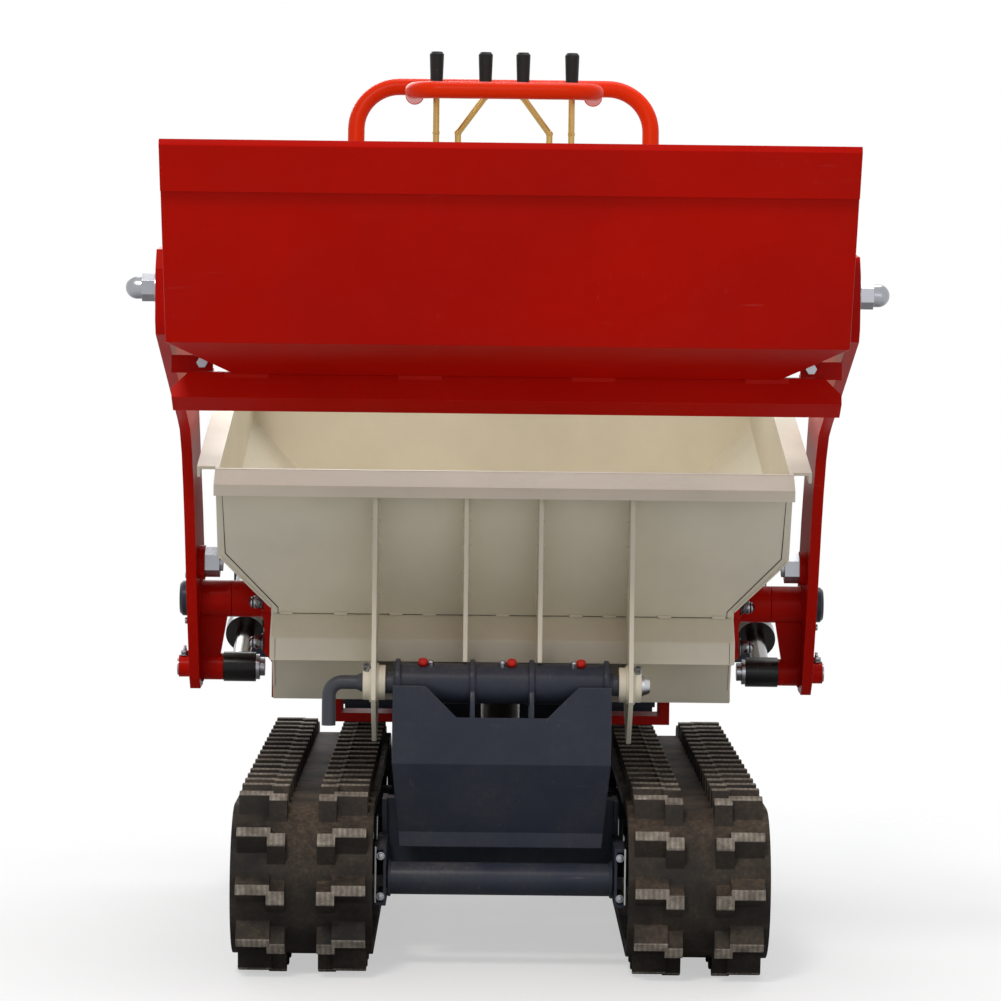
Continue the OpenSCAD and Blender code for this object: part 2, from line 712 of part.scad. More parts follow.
// one point of the bucket outline moved inwards along both neighbours
function inward(p, q, r, t) = let (u = (q - p) / norm(q - p), v = (r - q) / norm(r - q), k = 1 + u * v)
  q + t * ([u[1], -u[0]] + [v[1], -v[0]]) / k;
module bucket_solid(t) {
  f = inward(lip, fold, heel, -t);
  h = inward(fold, heel, crest, -t);
  n0 = [-(fold - lip)[1], (fold - lip)[0]] / norm(fold - lip);
  n1 = [-(crest - heel)[1], (crest - heel)[0]] / norm(crest - heel);
  out = t > 0 ? 60 : 0;
  l = lip + t * n0 + out * (lip - fold) / norm(lip - fold);
  c = crest + t * n1 + out * (crest - heel) / norm(crest - heel);
  difference() {
    xprism([l, f, h, c, c + [0, out], l + [out, out]], -bucket_half + t, bucket_half - t);
    for (s = [-1, 1])
      side(s) corner_cut(t);
  }
}
module bucket_shell() color(red) {
  difference() {
    bucket_solid(0);
    bucket_solid(bucket_sheet);
    xcyl(bolt_r + seam, -bucket_half - 1, bucket_half + 1, bolt_y, bolt_z);
  }
}
module cutting_edge() color(red) {
  u = (lip - fold) / norm(lip - fold);
  n = [-u[1], u[0]];
  low = lip + seam * n;
  xprism([low + 6 * u, low - 60 * u, low - 60 * u + 5 * n, low + 5 * n], -bucket_half, bucket_half);
}
module bucket_beam() color(red) {
  z1 = heel[1] - 1;
  y1 = heel[0] + 4;
  difference() {
    union() {
      xprism([[y1, z1 + 3], [y1 - 10, z1 - 28], [y1 + 20, z1 - 45], [y1 + 24, z1 - 39], [y1 - 2, z1 - 25],
        [y1 + 7, z1 + 4]], -bucket_half - 1, bucket_half + 1);
      for (x = [-318, -106, 106, 318])
        block(x - 27, x + 27, y1 - 3, y1 + 6, z1 - 4, z1 + 3);
    }
    for (s = [-1, 1])
      side(s) translate([bucket_half - 20, 0, z1 + 4])
        rotate([0, 45, 0]) block(0, 60, y1 - 60, y1 + 60, 0, 60);
    bucket_solid(0);
  }
}
module bucket_bolts() color(steel) {
  x1 = arm_in + arm_t;
  for (s = [-1, 1])
    side(s) {
      xcyl(bolt_r, bucket_half - bucket_sheet - 8, x1 + 14, bolt_y, bolt_z);
      xhex(17, bucket_half - bucket_sheet - 14, bucket_half - bucket_sheet, bolt_y, bolt_z);
      xcyl(19, x1, x1 + 4, bolt_y, bolt_z);
      xhex(17, x1 + 4, x1 + 20, bolt_y, bolt_z);
      xcyl(14, x1 + 20, x1 + 26, bolt_y, bolt_z);
      translate([x1 + 26, bolt_y, bolt_z]) sphere(r = 14);
    }
}
module arm_fasteners() color(steel) {
  inner = lift_x - eye_half - gap;
  for (s = [-1, 1])
    side(s) {
      xcyl(pin_r, inner - 12, arm_in + arm_t + 20, pin_y, pin_z);
      xcyl(eye_r - 3, inner - 5, inner, pin_y, pin_z);
      xhex(20.5, arm_in - 29, arm_in - 9, stop_y, stop_z);
      xcyl(12, arm_in - 33, arm_in - 28, stop_y, stop_z);
      translate([bracket_x + 13, bracket_y, bracket_z + 9])
        rotate([90, 0, 0]) cylinder(r = 7, h = 5, $fn = 6);
    }
}

// places lift cylinder parts that are drawn along +Y from the front pin
module in_lift() {
  translate([lift_x, pin_y, pin_z]) rotate([lift_rise, 0, 0]) children();
}
module ycyl(r, y0, y1) {
  translate([0, y0, 0]) rotate([-90, 0, 0]) cylinder(r = r, h = y1 - y0);
}
module lift_rod() in_lift() {
  difference() {
    union() {
      ycyl(lift_rod_r, eye_r - 4, piston_end - 1);
      ycyl(lift_barrel_r - lift_wall - gap, piston_end - piston_len, piston_end);
      xcyl(eye_r, -eye_half, eye_half, 0, 0);
    }
    xcyl(pin_r + fit, -eye_half - 1, eye_half + 1, 0, 0);
  }
}
module lift_rod_left() color(black) side(-1) lift_rod();
module lift_rod_right() color(black) lift_rod();
module lift_barrel() in_lift() {
  difference() {
    union() {
      ycyl(lift_barrel_r, lift_shown, lift_length - 14);
      ycyl(lift_barrel_r + 2, lift_shown, lift_shown + 26);
      xcyl(eye_r + 2, -eye_half, eye_half, lift_length, 0);
      translate([-lift_barrel_r + 4, lift_shown + 45, 0])
        rotate([0, -90, 0]) cylinder(r = 9, h = 14, $fn = 6);
    }
    ycyl(lift_rod_r + fit, lift_shown - 1, lift_shown + 31);
    ycyl(lift_barrel_r - lift_wall, lift_shown + 30, lift_length - 30);
  }
}
module lift_barrel_left() color(black) side(-1) lift_barrel();
module lift_barrel_right() color(black) lift_barrel();

module in_tip() {
  translate([0, tip_y, tip_z]) rotate([tip_rise, 0, 0]) children();
}
module tip_barrel() color(black) in_tip() {
  end = tip_len - tip_shown;
  difference() {
    union() {
      ycyl(tip_barrel_r, 18, end);
      ycyl(tip_barrel_r + 2, end - 24, end);
      xcyl(22, -29, 29, 0, 0);
    }
    ycyl(tip_rod_r + fit, 60, end + 1);
    ycyl(tip_barrel_r - 4, 30, end - 28);
    xcyl(tip_pin_r + fit, -30, 30, 0, 0);
  }
}
module tip_rod() color(steel) in_tip() {
  ycyl(tip_rod_r, 60, tip_len - 18);
  ycyl(tip_barrel_r - 4 - gap, 36, 61);
  xcyl(20, -25, 25, tip_len, 0);
}

module engine_deck() color(slate) {
  block(-deck_half, deck_half, deck_y0, leg_y + 30, rail_z1, deck_z);
  block(-deck_half, deck_half, leg_y + 24, leg_y + 30, rail_z1 - 40, deck_z + 40);
  block(1 - rail_in, rail_in - 1, deck_y0, deck_y0 + skirt_t, rail_z0, rail_z1 + weld);
  for (s = [-1, 1])
    side(s) {
      block(rail_out + 1, track_in - 3, deck_y0, deck_y0 + skirt_t, axle_z, rail_z1 + weld);
      block(rail_out + 1, leg_out, deck_y0, deck_y0 + skirt_t, axle_z + track_r + 5, rail_z1 + weld);
    }
}
// places engine parts that are drawn round the crank line, from the deck up
module in_engine() {
  translate([0, engine_y, deck_z]) scale(engine_width / 190) children();
}
module engine_block() color(steel) in_engine() {
  difference() {
    union() {
      block(-100, 90, -100, 100, 0, 170);
      block(-70, 60, -130, 20, 160, 250);
      for (i = [0 : 5])
        block(-86, 76, -144, 34, 176 + i * 13, 182 + i * 13);
      block(-120, 110, -110, 110, 0, 14);
    }
    xcyl(14, 40, 120, 0, 90);
  }
}
module recoil_cover() color(red) in_engine() {
  xcyl(92, -168, -100, 0, 108);
  xcyl(60, -178, -166, 0, 108);
}
module muffler() color(steel) in_engine() {
  block(80, 190, -125, -20, 190, 290);
  block(76, 82, -90, -60, 200, 240);
  xcyl(14, 188, 226, -100, 262);
}
module air_filter() color(black) in_engine() {
  block(-200, -86, -130, -20, 210, 320);
  block(-190, -96, -120, -30, 319, 332);
}
module fuel_tank() color(red) in_engine() {
  difference() {
    union() {
      block(-120, 70, 0, 150, 250, 360);
      block(-105, 55, 15, 135, 359, 372);
      translate([-25, 75, 371]) cylinder(r = 24, h = 12);
    }
    translate([-25, 75, 375]) cylinder(r = 16, h = 20);
  }
  block(-90, -60, 60, 120, 170, 251);
  block(20, 50, 60, 120, 170, 251);
}
module fuel_cap() color(black) in_engine() {
  z0 = 383 + gap;
  translate([-25, 75, z0]) cylinder(r = 32, h = 20);
  translate([-25, 75, z0 - 8]) cylinder(r = 16 - fit, h = 9);
  for (a = [0 : 60 : 300])
    translate([-25 + 31 * cos(a), 75 + 31 * sin(a), z0]) cylinder(r = 5, h = 20);
}
module hydraulic_pump() color(steel) in_engine() {
  xcyl(14 - fit, 60, 120, 0, 90);
  xcyl(55, 90, 130, 0, 90);
  block(130, 225, -40, 40, 50, 130);
}
module oil_tank() color(slate) in_engine() {
  block(114, 222, 112, 195, 0, 300);
  translate([168, 153, 299]) cylinder(r = 28, h = 24);
  translate([168, 153, 320]) cylinder(r = 34, h = 16);
}
module valve_block() color(steel) {
  plate = bar_half - bar_r;
  block(-140, 140, lever_y - 45, lever_y + 45, lever_z - 110, lever_z - 22);
  block(-plate, plate, lever_y - 50, lever_y + 50, lever_z - 118, lever_z - 110);
  for (x = [-outer_lever, -inner_lever, inner_lever, outer_lever]) {
    for (s = [-1, 1])
      block(x + s * 10 - 3, x + s * 10 + 3, lever_y - 9, lever_y + 9, lever_z - 23, lever_z + 9);
    xcyl(lever_pin_r, x - 13, x + 13, lever_y, lever_z);
  }
}

module bend90(r, big) {
  rotate_extrude(angle = 90) translate([big, 0]) circle(r = r);
}
module handlebar() color(orange) {
  difference() {
    translate([0, leg_y, deck_z]) rotate([-bar_lean, 0, 0]) {
      for (s = [-1, 1])
        side(s) {
          translate([bar_half, 0, -6]) cylinder(r = bar_r, h = bar_len - bar_bend + 6);
          translate([bar_half - bar_bend, 0, bar_len - bar_bend]) rotate([90, 0, 0]) bend90(bar_r, bar_bend);
        }
      xcyl(bar_r, -bar_half + bar_bend, bar_half - bar_bend, 0, bar_len);
    }
    block(-bar_half - 30, bar_half + 30, leg_y - 40, leg_y + 40, deck_z - 30, deck_z);
  }
}
module handle_guard() color(orange) {
  difference() {
    translate([0, bar_y - 8, guard_z]) {
      for (s = [-1, 1])
        side(s) {
          translate([guard_half, 0, 0]) rotate([90, 0, 0]) cylinder(r = bar_r, h = guard_reach - guard_bend);
          translate([guard_half - guard_bend, -guard_reach + guard_bend, 0]) rotate([0, 0, -90])
            bend90(bar_r, guard_bend);
        }
      xcyl(bar_r, -guard_half + guard_bend, guard_half - guard_bend, -guard_reach, 0);
    }
    xcyl(bar_r + seam, -guard_half - 30, guard_half + 30, bar_y, bar_z);
  }
}

// one hand lever, bent inwards between two heights
module lever(x0, x1) {
  z0 = bar_z - 78;
  z1 = bar_z - 20;
  difference() {
    union() {
      xcyl(8, x0 - 6, x0 + 6, lever_y, lever_z);
      bar([x0, lever_y, lever_z], [x0, lever_y, z0], lever_r);
    }
    xcyl(lever_pin_r + fit, x0 - 10, x0 + 10, lever_y, lever_z);
  }
  translate([x0, lever_y, z0]) sphere(r = lever_r + elbow);
  bar([x0, lever_y, z0], [x1, lever_y, z1], lever_r);
  translate([x1, lever_y, z1]) sphere(r = lever_r + elbow);
  bar([x1, lever_y, z1], [x1, lever_y, knob_top - knob_h + 4], lever_r);
  translate([x1, lever_y, knob_top - knob_h]) cylinder(r1 = knob_r - 1.5, r2 = knob_r, h = knob_h - 4);
  translate([x1, lever_y, knob_top - 4]) cylinder(r1 = knob_r, r2 = knob_r - 3, h = 4);
}
module drive_lever_left() color(zinc) lever(-inner_lever, -inner_knob);
module drive_lever_right() color(zinc) lever(inner_lever, inner_knob);
module lift_lever() color(zinc) lever(-outer_lever, -outer_lever);
module tip_lever() color(zinc) lever(outer_lever, outer_lever);

track_belt_left();
track_belt_right();
drive_sprocket_left();
drive_sprocket_right();
idler_wheel_left();
idler_wheel_right();
roller_left_front();
roller_left_mid();
roller_left_rear();
roller_right_front();
roller_right_mid();
roller_right_rear();
track_frame_left();
track_frame_right();
drive_motor_left();
drive_motor_right();
chassis_rails();
cross_beams();
front_cross_tube();
side_channels();
front_cover();
hinge_tube();
grease_nipples();
loader_frame();
pivot_shafts();
cylinder_posts();
skip_shell();
skip_front_box();
skip_ribs();
hinge_pin();
boss_screws();
loader_arm_left();
loader_arm_right();
bucket_shell();
cutting_edge();
bucket_beam();
bucket_bolts();
arm_fasteners();
lift_rod_left();
lift_rod_right();
lift_barrel_left();
lift_barrel_right();
tip_barrel();
tip_rod();
engine_deck();
engine_block();
recoil_cover();
muffler();
air_filter();
fuel_tank();
fuel_cap();
hydraulic_pump();
oil_tank();
valve_block();
handlebar();
handle_guard();
drive_lever_left();
drive_lever_right();
lift_lever();
tip_lever();
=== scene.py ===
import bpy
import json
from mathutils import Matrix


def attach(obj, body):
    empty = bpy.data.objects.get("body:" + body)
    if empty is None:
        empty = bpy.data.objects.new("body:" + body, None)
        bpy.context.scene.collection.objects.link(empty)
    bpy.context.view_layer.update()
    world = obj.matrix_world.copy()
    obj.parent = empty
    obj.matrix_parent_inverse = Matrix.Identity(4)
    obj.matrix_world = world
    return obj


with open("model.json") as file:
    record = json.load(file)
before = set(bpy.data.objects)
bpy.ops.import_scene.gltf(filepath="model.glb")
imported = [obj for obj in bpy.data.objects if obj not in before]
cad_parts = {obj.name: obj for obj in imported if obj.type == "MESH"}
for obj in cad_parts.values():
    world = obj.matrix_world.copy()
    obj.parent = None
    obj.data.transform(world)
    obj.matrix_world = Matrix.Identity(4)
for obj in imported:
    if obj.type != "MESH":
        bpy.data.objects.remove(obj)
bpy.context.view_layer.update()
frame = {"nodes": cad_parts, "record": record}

import json
import math

import bmesh
import bpy
from mathutils import Matrix, Vector

nodes = frame["nodes"]
scene = bpy.context.scene
MM = 0.001

# camera: looks along +Y at the front, fitted to the photo
FOCAL_PX = 4079.5
IMAGE_PX = 1001
SENSOR_MM = 36
FARTHEST_M = 60
CAM_POS = Vector((-0.03065, -5.6894, 0.82369))
CAM_YAW, CAM_PITCH, CAM_ROLL = 0.004931, -0.041497, 0.011431


def camera_matrix():
    """World matrix of the camera from its place, yaw, pitch and roll."""
    ahead = Vector((math.sin(CAM_YAW) * math.cos(CAM_PITCH), math.cos(CAM_YAW) * math.cos(CAM_PITCH),
                    math.sin(CAM_PITCH)))
    level = Vector((math.cos(CAM_YAW), -math.sin(CAM_YAW), 0))
    above = level.cross(ahead)
    right = math.cos(CAM_ROLL) * level + math.sin(CAM_ROLL) * above
    up = math.cos(CAM_ROLL) * above - math.sin(CAM_ROLL) * level
    m = Matrix((right, up, -ahead)).transposed().to_4x4()
    m.translation = CAM_POS
    return m


cam_data = bpy.data.cameras.new("camera")
cam_data.sensor_width = SENSOR_MM
cam_data.lens = SENSOR_MM * FOCAL_PX / IMAGE_PX
cam_data.clip_end = FARTHEST_M
camera = bpy.data.objects.new("camera", cam_data)
scene.collection.objects.link(camera)
camera.matrix_world = camera_matrix()
scene.camera = camera
scene.view_settings.view_transform = "Standard"


def srgb(r, g, b):
    """Linear colour from 0..255 display values."""
    out = []
    for v in (r, g, b):
        v = v / 255
        out.append(v / 12.92 if v <= 0.04045 else ((v + 0.055) / 1.055) ** 2.4)
    return (*out, 1.0)


# shared shader effects, built once


def new_group(name, inputs, outputs):
    """Empty node group with its sockets, and its two end nodes."""
    g = bpy.data.node_groups.new(name, "ShaderNodeTree")
    for kind, label, value in inputs:
        s = g.interface.new_socket(name=label, in_out="INPUT", socket_type=kind)
        if value is not None:
            s.default_value = value
    for kind, label in outputs:
        g.interface.new_socket(name=label, in_out="OUTPUT", socket_type=kind)
    return g, g.nodes.new("NodeGroupInput"), g.nodes.new("NodeGroupOutput")


def add(tree, kind, **kw):
    """New node with its settings."""
    n = tree.nodes.new(kind)
    for k, v in kw.items():
        setattr(n, k, v)
    return n


def noise(tree, vector, scale, detail=4.0, rough=0.55):
    """Noise value at a place."""
    n = add(tree, "ShaderNodeTexNoise")
    tree.links.new(vector, n.inputs["Vector"])
    if hasattr(scale, "is_linked"):
        tree.links.new(scale, n.inputs["Scale"])
    else:
        n.inputs["Scale"].default_value = scale
    n.inputs["Detail"].default_value = detail
    n.inputs["Roughness"].default_value = rough
    return n.outputs["Fac"]


def ramp(tree, fac, lo, hi, a=0.0, b=1.0):
    """Value that goes from a to b while fac goes from lo to hi."""
    n = add(tree, "ShaderNodeMapRange", clamp=True)
    tree.links.new(fac, n.inputs["Value"])
    for key, v in (("From Min", lo), ("From Max", hi), ("To Min", a), ("To Max", b)):
        n.inputs[key].default_value = v
    return n.outputs["Result"]


def math_node(tree, op, a, b=None, c=None):
    """Result of a sum on sockets or plain numbers."""
    n = add(tree, "ShaderNodeMath", operation=op)
    for i, v in enumerate((a, b, c)):
        if v is None:
            continue
        if hasattr(v, "is_linked"):
            tree.links.new(v, n.inputs[i])
        else:
            n.inputs[i].default_value = v
    return n.outputs[0]


def mix_color(tree, fac, a, b, blend="MIX"):
    """Colour between a and b."""
    n = add(tree, "ShaderNodeMix", data_type="RGBA", blend_type=blend)
    for key, v in ((0, fac), (6, a), (7, b)):
        if hasattr(v, "is_linked"):
            tree.links.new(v, n.inputs[key])
        else:
            n.inputs[key].default_value = v
    return n.outputs[2]


def build_dust():
    """Dust that lies on faces that look up, gathers low down and breaks up in patches."""
    g, gi, go = new_group("dust",
                          [("NodeSocketVector", "Vector", None), ("NodeSocketFloat", "Amount", 0.3),
                           ("NodeSocketFloat", "Low", 0.3)],
                          [("NodeSocketFloat", "Mask")])
    geo = add(g, "ShaderNodeNewGeometry")
    sep = add(g, "ShaderNodeSeparateXYZ")
    g.links.new(geo.outputs["Normal"], sep.inputs[0])
    up = ramp(g, sep.outputs["Z"], 0.1, 0.95)
    place = add(g, "ShaderNodeSeparateXYZ")
    g.links.new(gi.outputs["Vector"], place.inputs[0])
    low = math_node(g, "MULTIPLY", ramp(g, place.outputs["Z"], 0.0, 0.45, 1.0, 0.0), gi.outputs["Low"])
    patch = ramp(g, noise(g, gi.outputs["Vector"], 9.0, 6.0, 0.65), 0.38, 0.68)
    speck = ramp(g, noise(g, gi.outputs["Vector"], 160.0, 3.0, 0.7), 0.42, 0.72)
    both = math_node(g, "MULTIPLY", patch, math_node(g, "MULTIPLY_ADD", speck, 0.6, 0.4))
    lay = math_node(g, "MULTIPLY", math_node(g, "ADD", math_node(g, "MULTIPLY_ADD", up, 0.8, 0.2), low), both)
    out = math_node(g, "MULTIPLY", lay, gi.outputs["Amount"])
    g.links.new(math_node(g, "MINIMUM", out, 1.0), go.inputs["Mask"])
    return g


def build_scuffs():
    """Thin scratches that run in two directions and a few chips."""
    g, gi, go = new_group("scuffs",
                          [("NodeSocketVector", "Vector", None), ("NodeSocketFloat", "Amount", 0.3)],
                          [("NodeSocketFloat", "Scratch"), ("NodeSocketFloat", "Chip")])
    lines = []
    for turn, scale in (((0.3, 0.2, 0.5), (14.0, 260.0, 90.0)), ((0.9, -0.4, -0.3), (240.0, 16.0, 70.0))):
        m = add(g, "ShaderNodeMapping")
        m.inputs["Rotation"].default_value = turn
        m.inputs["Scale"].default_value = scale
        g.links.new(gi.outputs["Vector"], m.inputs["Vector"])
        lines.append(ramp(g, noise(g, m.outputs[0], 1.0, 2.0, 0.5), 0.69, 0.78))
    area = ramp(g, noise(g, gi.outputs["Vector"], 5.0, 3.0, 0.6), 0.45, 0.7)
    line = math_node(g, "MULTIPLY", math_node(g, "MAXIMUM", lines[0], lines[1]), area)
    g.links.new(math_node(g, "MULTIPLY", line, gi.outputs["Amount"]), go.inputs["Scratch"])
    chip = ramp(g, noise(g, gi.outputs["Vector"], 70.0, 5.0, 0.6), 0.74, 0.77)
    g.links.new(math_node(g, "MULTIPLY", chip, gi.outputs["Amount"]), go.inputs["Chip"])
    return g


def build_grain():
    """Fine surface height: a soft large wave and a small grain."""
    g, gi, go = new_group("grain",
                          [("NodeSocketVector", "Vector", None), ("NodeSocketFloat", "Fine", 900.0),
                           ("NodeSocketFloat", "Broad", 40.0)],
                          [("NodeSocketFloat", "Height"), ("NodeSocketFloat", "Tone")])
    fine = noise(g, gi.outputs["Vector"], gi.outputs["Fine"], 2.0, 0.5)
    broad = noise(g, gi.outputs["Vector"], gi.outputs["Broad"], 3.0, 0.5)
    wave = math_node(g, "MULTIPLY", broad, 0.65)
    g.links.new(math_node(g, "MULTIPLY_ADD", fine, 0.35, wave), go.inputs["Height"])
    g.links.new(noise(g, gi.outputs["Vector"], 3.5, 5.0, 0.6), go.inputs["Tone"])
    return g


DUST, SCUFFS, GRAIN = build_dust(), build_scuffs(), build_grain()


def use_group(tree, group, vector, **values):
    """Places a shared effect with its own values."""
    n = add(tree, "ShaderNodeGroup", node_tree=group)
    tree.links.new(vector, n.inputs["Vector"])
    for k, v in values.items():
        n.inputs[k].default_value = v
    return n


def start(name):
    """New material with its tree, its shader and the place on the object."""
    m = bpy.data.materials.new(name)
    m.use_nodes = True
    t = m.node_tree
    shader = t.nodes["Principled BSDF"]
    place = add(t, "ShaderNodeTexCoord").outputs["Object"]
    return m, t, shader, place


def bump(tree, shader, height, strength, distance):
    """Lets a height bend the shader's normal."""
    b = add(tree, "ShaderNodeBump")
    b.inputs["Strength"].default_value = strength
    b.inputs["Distance"].default_value = distance
    tree.links.new(height, b.inputs["Height"])
    tree.links.new(b.outputs[0], shader.inputs["Normal"])


DUST_COLOR = srgb(168, 156, 138)


def paint(name, color, rough, dust, scuff, coat, low=0.3, under=srgb(92, 88, 84), gloss=0.3):
    """Sprayed paint: slight tone drift, orange peel, scratches, chips and dust."""
    m, t, sh, place = start(name)
    grain = use_group(t, GRAIN, place, Fine=900.0, Broad=45.0)
    tone = ramp(t, grain.outputs["Tone"], 0.3, 0.7)
    dark = tuple(c * 0.86 for c in color[:3]) + (1.0,)
    light = tuple(min(1.0, c * 1.06) for c in color[:3]) + (1.0,)
    base = mix_color(t, tone, dark, light)
    sc = use_group(t, SCUFFS, place, Amount=scuff)
    pale = tuple(min(1.0, 0.55 * c + 0.25) for c in color[:3]) + (1.0,)
    base = mix_color(t, sc.outputs["Scratch"], base, pale)
    base = mix_color(t, sc.outputs["Chip"], base, under)
    du = use_group(t, DUST, place, Amount=dust, Low=low)
    base = mix_color(t, du.outputs["Mask"], base, DUST_COLOR)
    t.links.new(base, sh.inputs["Base Color"])
    r = math_node(t, "MULTIPLY_ADD", tone, 0.1, rough - 0.05)
    r = math_node(t, "ADD", r, math_node(t, "MULTIPLY", du.outputs["Mask"], 0.45))
    t.links.new(math_node(t, "MINIMUM", r, 1.0), sh.inputs["Roughness"])
    sh.inputs["Coat Weight"].default_value = coat
    sh.inputs["Coat Roughness"].default_value = 0.22
    sh.inputs["Specular IOR Level"].default_value = gloss
    bump(t, sh, grain.outputs["Height"], 0.12, 0.0006)
    return m


def metal(name, color, rough, dust=0.15, scuff=0.4, stain=0.25, fine=600.0, relief=0.0004):
    """Bare or plated metal with tarnish, scratches and dust."""
    m, t, sh, place = start(name)
    grain = use_group(t, GRAIN, place, Fine=fine, Broad=60.0)
    tone = ramp(t, grain.outputs["Tone"], 0.25, 0.75)
    dark = tuple(c * (1 - stain) for c in color[:3]) + (1.0,)
    base = mix_color(t, tone, dark, color)
    sc = use_group(t, SCUFFS, place, Amount=scuff)
    base = mix_color(t, sc.outputs["Scratch"], base, tuple(min(1.0, c * 1.25) for c in color[:3]) + (1.0,))
    du = use_group(t, DUST, place, Amount=dust, Low=0.2)
    t.links.new(mix_color(t, du.outputs["Mask"], base, DUST_COLOR), sh.inputs["Base Color"])
    t.links.new(ramp(t, du.outputs["Mask"], 0.0, 0.8, 1.0, 0.25), sh.inputs["Metallic"])
    r = math_node(t, "MULTIPLY_ADD", tone, 0.16, rough - 0.08)
    r = math_node(t, "ADD", r, math_node(t, "MULTIPLY", sc.outputs["Scratch"], 0.2))
    t.links.new(math_node(t, "MINIMUM", math_node(t, "MULTIPLY_ADD", du.outputs["Mask"], 0.5, r), 1.0),
                sh.inputs["Roughness"])
    bump(t, sh, grain.outputs["Height"], 0.1, relief)
    return m


def plain(name, color, rough=0.5, dust=0.2):
    """Moulded plastic or rubber with grain and dust."""
    m, t, sh, place = start(name)
    grain = use_group(t, GRAIN, place, Fine=1500.0, Broad=120.0)
    tone = ramp(t, grain.outputs["Tone"], 0.3, 0.7)
    base = mix_color(t, tone, tuple(c * 0.85 for c in color[:3]) + (1.0,), color)
    du = use_group(t, DUST, place, Amount=dust, Low=0.2)
    t.links.new(mix_color(t, du.outputs["Mask"], base, DUST_COLOR), sh.inputs["Base Color"])
    t.links.new(math_node(t, "MULTIPLY_ADD", tone, 0.15, rough - 0.08), sh.inputs["Roughness"])
    sh.inputs["Specular IOR Level"].default_value = 0.3
    bump(t, sh, grain.outputs["Height"], 0.25, 0.0004)
    return m


RED = paint("red_paint", srgb(190, 14, 1), rough=0.34, dust=0.04, low=0.08, scuff=0.1, coat=0.02, gloss=0.05)
ORANGE = paint("orange_paint", srgb(243, 50, 4), rough=0.36, dust=0.02, scuff=0.1, coat=0.0, gloss=0.08)
CREAM = paint("cream_paint", srgb(229, 221, 200), rough=0.42, dust=0.22, low=0.2, scuff=0.4, coat=0.0,
              under=srgb(120, 112, 100), gloss=0.25)
SLATE = paint("anthracite_paint", srgb(46, 51, 64), rough=0.36, dust=0.18, low=0.4, scuff=0.3, coat=0.04,
              under=srgb(100, 98, 94), gloss=0.16)
BLACK = paint("black_paint", srgb(16, 16, 17), rough=0.2, dust=0.2, low=0.3, scuff=0.35, coat=0.4)
STEEL = metal("steel", srgb(168, 170, 176), rough=0.27)
CHROME = metal("chrome", srgb(225, 227, 230), rough=0.12, dust=0.05, scuff=0.2, stain=0.1)
ALU = metal("aluminium", srgb(178, 180, 182), rough=0.48, dust=0.3, fine=300.0, relief=0.001)
PLASTIC = plain("black_plastic", srgb(24, 24, 25))
# white for the thin boxes on the side channels' front edges: a painted highlight of those edges
EDGE_HIGHLIGHT = plain("painted_edge_highlight", srgb(225, 226, 224), rough=0.45, dust=0.3)
# dark grey for the seam tubes: painted shade of the open gaps between the stitches
SEAM_SHADE = plain("seam", srgb(62, 58, 50), rough=0.8, dust=0.2)

WHEELBASE = 0.935
TRACK_R = 0.118
AXLE_Z = 0.118
# fine ticks across the lug tops
TICKS_PER_M = 150.0


def tread_rubber():
    """Black rubber; lug tops are rubbed grey, with a row of fine ticks and dust between the lugs."""
    m, t, sh, place = start("rubber")
    sep = add(t, "ShaderNodeSeparateXYZ")
    t.links.new(place, sep.inputs[0])
    along = math_node(t, "SUBTRACT", math_node(t, "ABSOLUTE", sep.outputs["Y"]), WHEELBASE / 2)
    over = math_node(t, "MAXIMUM", along, 0.0)
    up = math_node(t, "SUBTRACT", sep.outputs["Z"], AXLE_Z)
    squares = math_node(t, "ADD", math_node(t, "MULTIPLY", over, over), math_node(t, "MULTIPLY", up, up))
    radius = math_node(t, "SQRT", squares)
    top = ramp(t, radius, TRACK_R - 0.0016, TRACK_R - 0.0006)
    grain = use_group(t, GRAIN, place, Fine=700.0, Broad=150.0)
    worn = ramp(t, noise(t, place, 55.0, 5.0, 0.7), 0.35, 0.7)
    across = math_node(t, "FRACT", math_node(t, "MULTIPLY", sep.outputs["X"], TICKS_PER_M))
    off_mid = math_node(t, "ABSOLUTE", math_node(t, "SUBTRACT", across, 0.5))
    tick = math_node(t, "MULTIPLY", ramp(t, off_mid, 0.2, 0.3), top)
    rubber = mix_color(t, ramp(t, grain.outputs["Tone"], 0.3, 0.7), srgb(24, 22, 21), srgb(44, 40, 37))
    du = use_group(t, DUST, place, Amount=0.6, Low=0.2)
    base = mix_color(t, du.outputs["Mask"], rubber, srgb(138, 119, 99))
    lug_top = mix_color(t, worn, srgb(140, 131, 120), srgb(186, 176, 162))
    lug_top = mix_color(t, math_node(t, "MULTIPLY", tick, 0.3), lug_top, srgb(70, 66, 62))
    face = math_node(t, "MULTIPLY", top, math_node(t, "MULTIPLY_ADD", worn, 0.35, 0.55))
    t.links.new(mix_color(t, face, base, lug_top), sh.inputs["Base Color"])
    t.links.new(math_node(t, "MULTIPLY_ADD", worn, 0.12, 0.66), sh.inputs["Roughness"])
    sh.inputs["Specular IOR Level"].default_value = 0.2
    height = math_node(t, "SUBTRACT", grain.outputs["Height"], math_node(t, "MULTIPLY", tick, 1.5))
    bump(t, sh, height, 0.5, 0.0008)
    return m


